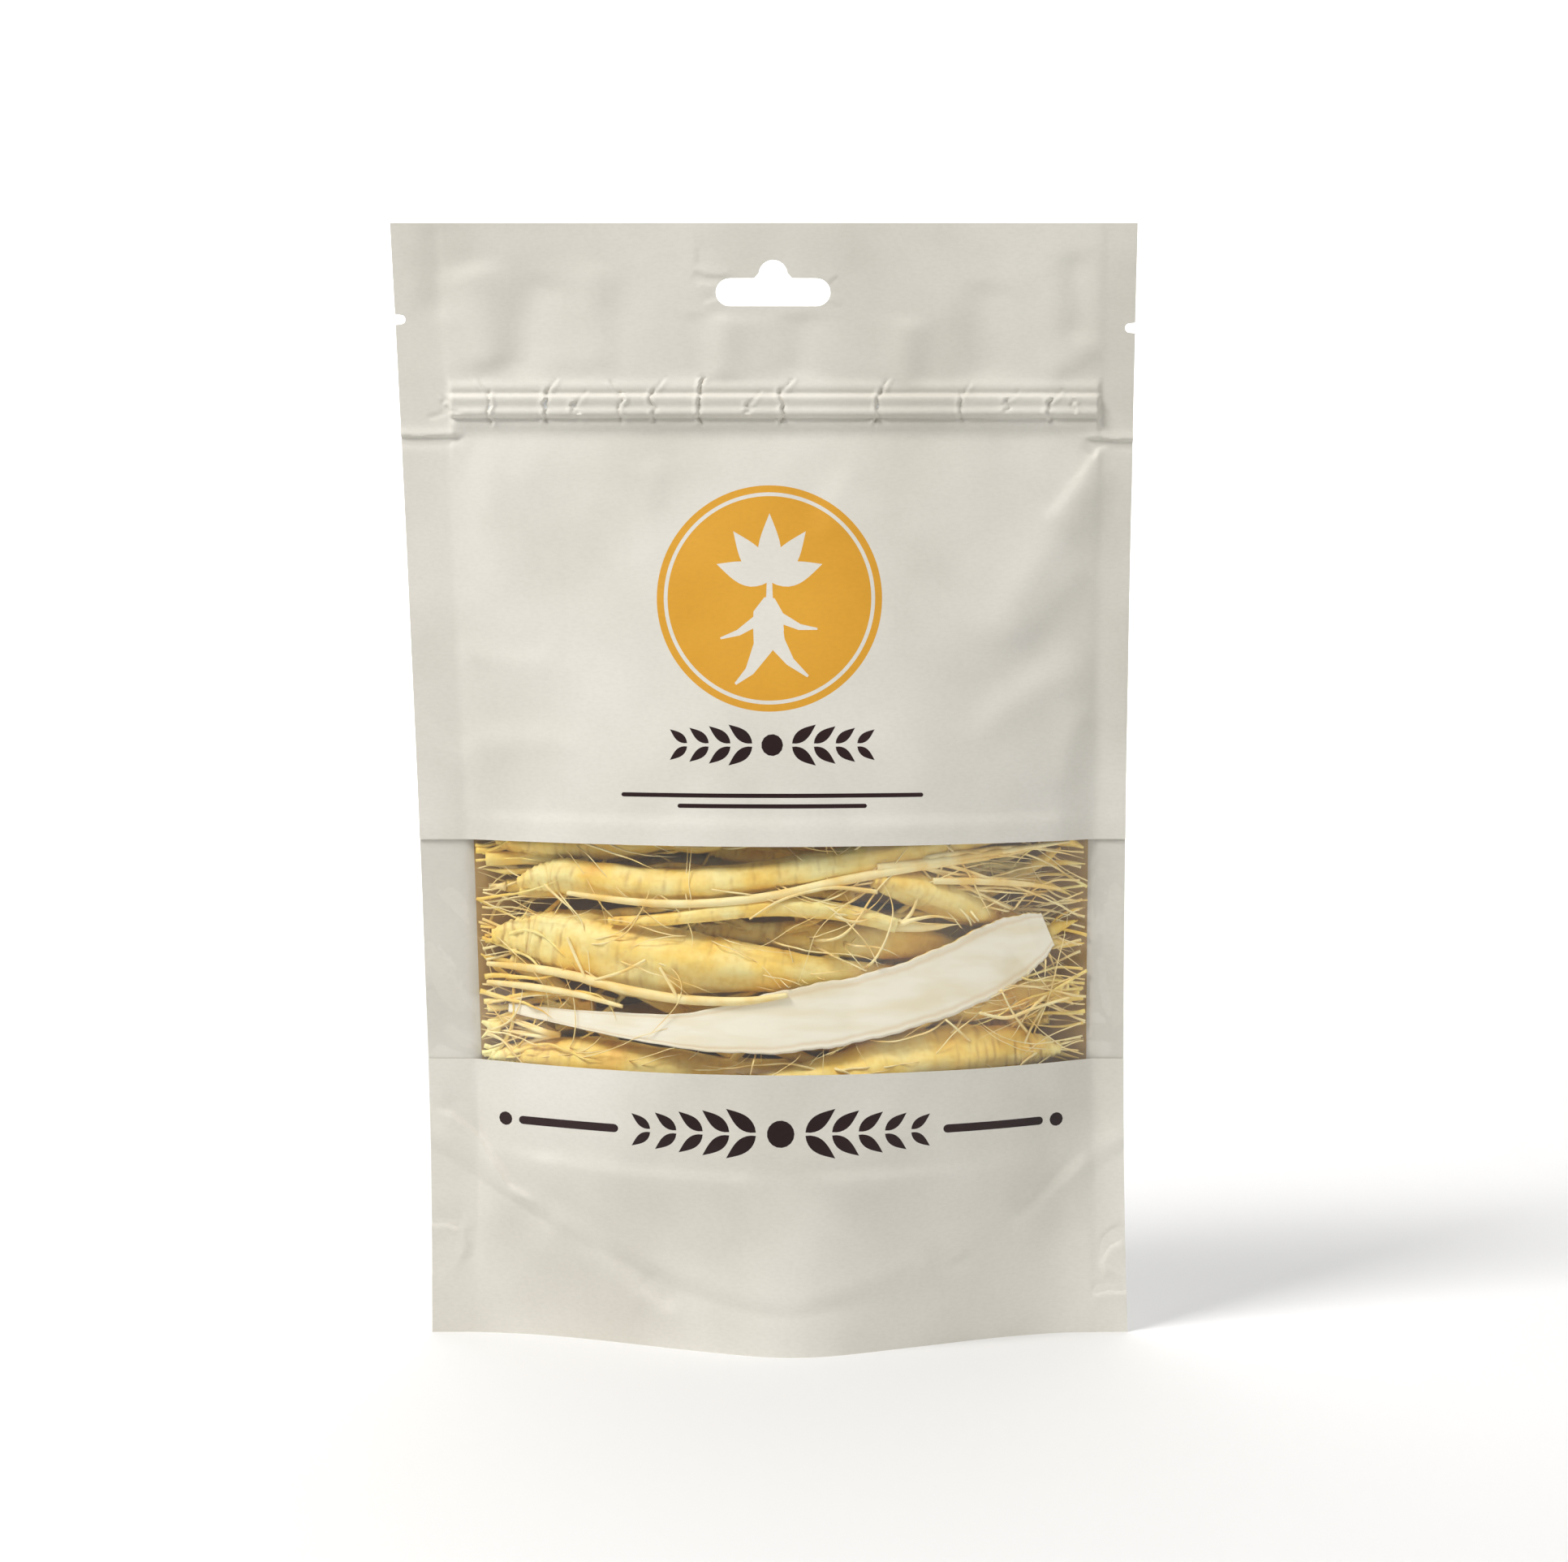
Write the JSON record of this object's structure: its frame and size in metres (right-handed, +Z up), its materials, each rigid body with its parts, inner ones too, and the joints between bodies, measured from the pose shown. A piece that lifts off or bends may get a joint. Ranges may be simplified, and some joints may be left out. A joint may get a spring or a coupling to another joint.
{
  "type": "stand-up pouch",
  "caption": "Standing paper pouch with a rounded base gusset, clear window band, press-to-close zip and hang slot, filled with ginseng roots.",
  "frame": {"origin": "middle of the bounding box at the level of the base edge", "axes": "+Z up the pouch, +X across it to the right as seen from the front, -Y out of the front"},
  "size_m": [0.16, 0.0498, 0.24],
  "materials": {
    "paper": "matte uncoated paper laminate",
    "film": "clear glossy film",
    "zip": "natural extruded polyethylene",
    "root_skin": "dry golden-cream ringed skin",
    "root_flesh": "dry pale cut face"
  },
  "bodies": {
    "root": {"front_upper": "paper", "front_lower": "paper", "back_lower": "paper", "back_upper": "paper", "base_gusset": "paper", "window_film": "film", "zip_groove_strip": "zip", "zip_rib_strip": "zip", "root_top_left": "root_skin", "root_top_right": "root_skin", "root_upper": "root_skin", "root_thin": "root_skin", "root_right": "root_skin", "root_large": "root_skin", "root_inner": "root_skin", "root_side_right": "root_skin", "root_low_right": "root_skin", "root_low_left": "root_skin", "root_back_top": "root_skin", "root_back_upper": "root_skin", "root_back_middle": "root_skin", "root_back_low": "root_skin", "root_under_front": "root_skin", "root_under_back": "root_skin", "root_bottom": "root_skin", "root_slice": "root_flesh"}
  },
  "joints": []
}
